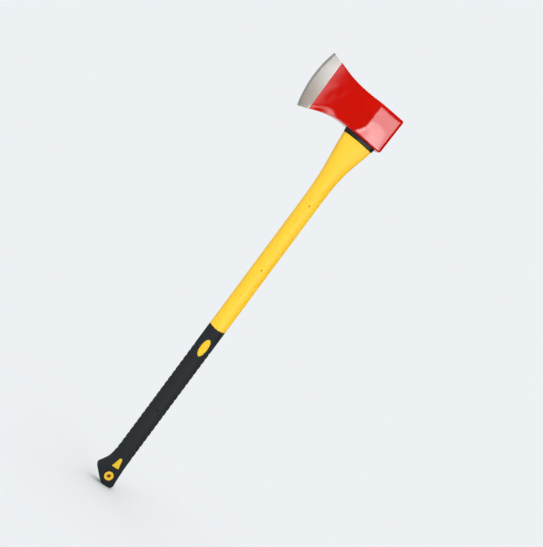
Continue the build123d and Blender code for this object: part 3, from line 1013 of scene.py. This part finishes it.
def cheek(u, w):
    """Half thickness of the painted cheek."""
    along = -(u * math.cos(GRIND_LEAN) + w * math.sin(GRIND_LEAN))
    low = fade(w, *LOW_CHEEK)
    blade = (1 - low) * through(CHEEK_KNOTS, along) + low * through(LOW_CHEEK_KNOTS, along)
    widest = WIDEST + low * (LOW_WIDEST - WIDEST)
    to_poll = np.clip((u + widest) / (POLL_X - POLL_CHAMFER[0] + widest), 0, 1)
    poll_part = EYE_HALF_DEPTH + (POLL_HALF_DEPTH - EYE_HALF_DEPTH) * to_poll
    underside, top = border_heights(u)
    height, depth = TOP_ROLL
    roll = depth * np.maximum(0, 1 - (top - w) / height)**2 * fade(u, *TOP_ROLL_FADE)
    fuller = smooth(1 - np.abs(u - FLARE_FULLEST[0]) / FLARE_FULLEST[1])
    height, depth = [least + more * fuller for least, more in zip(FLARE_ROLL, FLARE_ROLL_MORE)]
    flare = np.maximum(0, 1 - (w - underside) / height)**2
    roll = roll + depth * flare * fade(u, *FLARE_ROLL_FADE)
    return np.minimum(blade, poll_part) - roll


def head_stations():
    """Stations of (points up the side view, half thickness there) from poll to edge."""
    stations = []
    chamfer_x, chamfer_y = POLL_CHAMFER
    for back, thinner in POLL_STEPS:
        line = line_station(POLL_X - back, back)
        chamfer = POLL_HALF_DEPTH - chamfer_y * (1 - back / chamfer_x)
        stations.append((line, np.minimum(chamfer, cheek(*line.T)) - thinner))
    places = [*np.arange(POLL_X - CHEEK_START, LEAN_START, -CHEEK_ROW_GAP),
              *np.linspace(LEAN_START, GRIND_X, BLADE_STATIONS)]
    for along in places:
        line = line_station(along)
        stations.append((line, cheek(*line.T)))
    ground_start, ground_half = stations[-1]
    bevel_start = arc_station(EDGE_RADIUS - BEVEL_WIDTH)
    for t in GRIND_STEPS:
        line = (1 - t) * ground_start + t * bevel_start
        half = (1 - t) * GRIND_HALF_DEPTH + t * BEVEL_HALF_DEPTH + GRIND_CROWN * 4 * t * (1 - t)
        half = half - (GRIND_HALF_DEPTH - ground_half) * (1 - t)**GRIND_BLEND_POWER
        stations.append((line, half))
    for t in BEVEL_STEPS:
        arc = arc_station(EDGE_RADIUS - BEVEL_WIDTH * (1 - t))
        stations.append((arc, BEVEL_HALF_DEPTH + (EDGE_HALF_DEPTH - BEVEL_HALF_DEPTH) * t))
    return stations


def rounded_corner(before, corner, after, size):
    """Points of a rounding at a corner of an outline."""
    ends = []
    for side in (before - corner, after - corner):
        length = np.linalg.norm(side)
        ends.append(corner + side / length * min(size, CORNER_SHARE * length))
    for t in (0.0, 0.25, 0.5, 0.75, 1.0):
        yield (1 - t)**2 * ends[0] + 2 * t * (1 - t) * corner + t**2 * ends[1]


def head_row(line, half):
    """One closed row round the head: underside, cheek, top and the other cheek."""
    half = np.broadcast_to(half, STATION_POINTS)
    height = np.linalg.norm(line[-1] - line[0])
    low_in, high_in = [
        max(thick - inner, min(SMALL_CHAMFER, SMALL_CHAMFER_SHARE * thick))
        for thick, inner in ((half[0], CHAMFER_INNER), (half[-1], TOP_INNER))]
    low_up = low_in * CHAMFER_SLOPE
    size = min(CORNER_ROUNDING, THIN_ROUNDING[0] * half.min() + THIN_ROUNDING[1])
    corners = np.array([
        [0.0, 0.0], [half[0] - low_in, 0.0], [half[0], low_up],
        [half[-1], height - high_in], [half[-1] - high_in, height], [0.0, height]])
    steps = np.linspace(0, 1, STATION_POINTS)
    outline = [corners[1] * t for t in FLAT_SHARES]
    outline += rounded_corner(*corners[0:3], size)
    outline += rounded_corner(*corners[1:4], size)
    for t in steps[1:-1]:
        rise = low_up + size + t * (height - high_in - low_up - 2 * size)
        outline.append(np.array([np.interp(rise / height, steps, half), rise]))
    outline += rounded_corner(*corners[2:5], size)
    outline += rounded_corner(*corners[3:6], size)
    outline += [np.array([corners[4][0] * t, height]) for t in FLAT_SHARES[::-1]]
    y, rise = np.array(outline).T
    u, w = [np.interp(rise / height, steps, line[:, axis]) for axis in (0, 1)]
    one_side = from_head(u, y, w)
    other_side = one_side[1:-1][::-1] * [1, -1, 1]
    return np.concatenate([one_side, other_side])


def cut_eye(head):
    """Opens the eye through the head, with a softened rim at its top."""
    shell = Shell([head_ring(between(EYE_BOTTOM, EYE_TOP, w / HEAD_HEIGHT), w, out)
                   for w, out in EYE_STEPS])
    shell.close()
    tool = shell.make("eye_tool", [RED])
    cut = head.modifiers.new("eye", "BOOLEAN")
    cut.operation = "DIFFERENCE"
    cut.solver = "EXACT"
    cut.object = tool
    graph = bpy.context.evaluated_depsgraph_get()
    mesh = bpy.data.meshes.new_from_object(head.evaluated_get(graph))
    head.modifiers.clear()
    head.data = mesh
    bpy.data.objects.remove(tool)
    mesh.set_sharp_from_angle(angle=math.radians(HEAD_SHARP_DEGREES))


def make_head():
    shell = Shell([head_row(line, half) for line, half in head_stations()])
    shell.close()
    head = shell.make("head", [RED, STEEL, HONED], HEAD_SHARP_DEGREES)
    assign_head_materials(head)
    cut_eye(head)
    return head


def assign_head_materials(head):
    """Paint up to the ground line, bare steel beyond it, honed steel along the edge."""
    for polygon in head.data.polygons:
        x, _, z = polygon.center / MM
        u = (x - SEAT[0]) * math.cos(HANG) - (z - SEAT[1]) * math.sin(HANG)
        w = (x - SEAT[0]) * math.sin(HANG) + (z - SEAT[1]) * math.cos(HANG)
        if math.hypot(u - EDGE_CENTRE[0], w - EDGE_CENTRE[1]) > EDGE_RADIUS - BEVEL_WIDTH:
            polygon.material_index = 2
        elif u * math.cos(GRIND_LEAN) + w * math.sin(GRIND_LEAN) < GRIND_X:
            polygon.material_index = 1


# Pieces and the nodes they stand for ------------------------------------------------------

def settle(piece, slot, *nodes):
    """Rides a piece on the axe's one body and hides the CAD nodes it stands for; slot, its
    finish, is not used.
    """
    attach(piece, "root")
    if nodes:
        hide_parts(*nodes)


def dress(node, material):
    """Gives a CAD node that stays a better material."""
    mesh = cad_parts[node].data
    mesh.materials.clear()
    mesh.materials.append(material)


settle(make_head(), "axe_head", "axe_head")
settle(make_collar(), "eye_collar", "eye_collar")
settle(make_handle(), "handle_jacket", "handle_jacket")
settle(make_tang(), "handle_jacket")
settle(make_island("window_ellipse", ELLIPSE_Z, ellipse_radius), "handle_jacket")
settle(make_island("window_arch", ARCH_CENTRE_Z, arch_radius), "handle_jacket")
settle(make_boss(), "handle_jacket")
settle(make_grip(), "grip_sleeve", "grip_sleeve")
dress("eye_resin", RESIN)
dress("fibreglass_core", FIBRE)


# Studio -----------------------------------------------------------------------------------

def make_camera():
    look = Vector((math.sin(CAMERA_TURN), math.cos(CAMERA_TURN), 0))
    across = Vector((math.cos(CAMERA_TURN), -math.sin(CAMERA_TURN), 0))
    upright = Vector((0, 0, 1))
    right = across * math.cos(CAMERA_ROLL) + upright * math.sin(CAMERA_ROLL)
    up = upright * math.cos(CAMERA_ROLL) - across * math.sin(CAMERA_ROLL)
    data = bpy.data.cameras.new("camera")
    data.lens = LENS
    data.sensor_width = SENSOR_WIDTH
    camera = add_object("camera", data)
    position = across * AIM_ACROSS + upright * AIM_HEIGHT - look * CAMERA_DISTANCE
    turn = Matrix((right, up, -look)).transposed().to_4x4()
    camera.matrix_world = Matrix.Translation(position) @ turn
    bpy.context.scene.camera = camera


class Sky(Tree):
    """Builds the studio's light from soft-edged panels, in degrees round the axe's head.

    Azimuth runs from -Y towards +X, and elevation up from the horizon.
    """

    def __init__(self):
        world = bpy.data.worlds.new("studio")
        super().__init__(world)
        bpy.context.scene.world = world
        self.tree.nodes.clear()
        direction = self.add("ShaderNodeTexCoord").outputs["Generated"]
        x, y, z = self.add("ShaderNodeSeparateXYZ", {"Vector": direction}).outputs
        self.azimuth = self.degrees("ARCTAN2", x, self.math("MULTIPLY", y, -1.0))
        self.elevation = self.degrees("ARCSINE", z)
        self.behind = self.degrees("ARCTAN2", self.math("MULTIPLY", x, -1.0), y)
        self.total = ROOM

    def degrees(self, operation, *values):
        return self.math("MULTIPLY", self.math(operation, *values), math.degrees(1))

    def step(self, value, dark, light):
        """Rises smoothly from 0 at dark to 1 at light, which may be the lower of the two."""
        if light < dark:
            return self.remap(value, light, dark, 1.0, 0.0, smoothly=True)
        return self.remap(value, dark, light, smoothly=True)

    def panel(self, radiance, left, right, bottom, top, around=None):
        """Adds a panel whose four sides are each a pair (dark, light) of degrees."""
        around = around or self.azimuth
        light = radiance
        for value, side in ((around, left), (around, right),
                            (self.elevation, bottom), (self.elevation, top)):
            light = self.math("MULTIPLY", self.step(value, *side), light)
        self.total = self.math("ADD", light, self.total)

    def finish(self):
        """Shows the camera the plain backdrop, and everything else the panels and the room."""
        camera_ray = self.add("ShaderNodeLightPath").outputs["Is Camera Ray"]
        lit = self.add("ShaderNodeBackground", {"Strength": self.total}).outputs[0]
        backdrop = self.add("ShaderNodeBackground", {"Color": (*BACKGROUND, 1)}).outputs[0]
        surface = self.mix_shaders(camera_ray, lit, backdrop)
        self.add("ShaderNodeOutputWorld", {"Surface": surface})


def make_world():
    sky = Sky()
    for panel in PANELS.values():
        sky.panel(*panel)
    sky.panel(*BACK_PANEL, sky.behind)
    sky.finish()


def make_floor():
    """A pale floor that fades out into the backdrop."""
    build = bmesh.new()
    bmesh.ops.create_circle(build, cap_ends=True, segments=FLOOR_SIDES, radius=FLOOR_RADIUS)
    mesh = bpy.data.meshes.new("floor")
    build.to_mesh(mesh)
    build.free()
    n = Nodes("floor")
    n.set(Base_Color=BACKGROUND, Roughness=0.9, Specular_IOR_Level=0.1)
    away = n.add("ShaderNodeVectorMath", {0: n.position}, operation="LENGTH").outputs["Value"]
    clear = n.add("ShaderNodeBsdfTransparent").outputs[0]
    surface = n.mix_shaders(n.remap(away, *FLOOR_FADE, smoothly=True), n.shader.outputs[0], clear)
    n.link(surface, n.tree.nodes["Material Output"].inputs["Surface"])
    mesh.materials.append(n.material)
    add_object("floor", mesh)


make_camera()
make_world()
make_floor()

scene = bpy.context.scene
scene.view_settings.view_transform = "Standard"
scene.view_settings.look = "None"
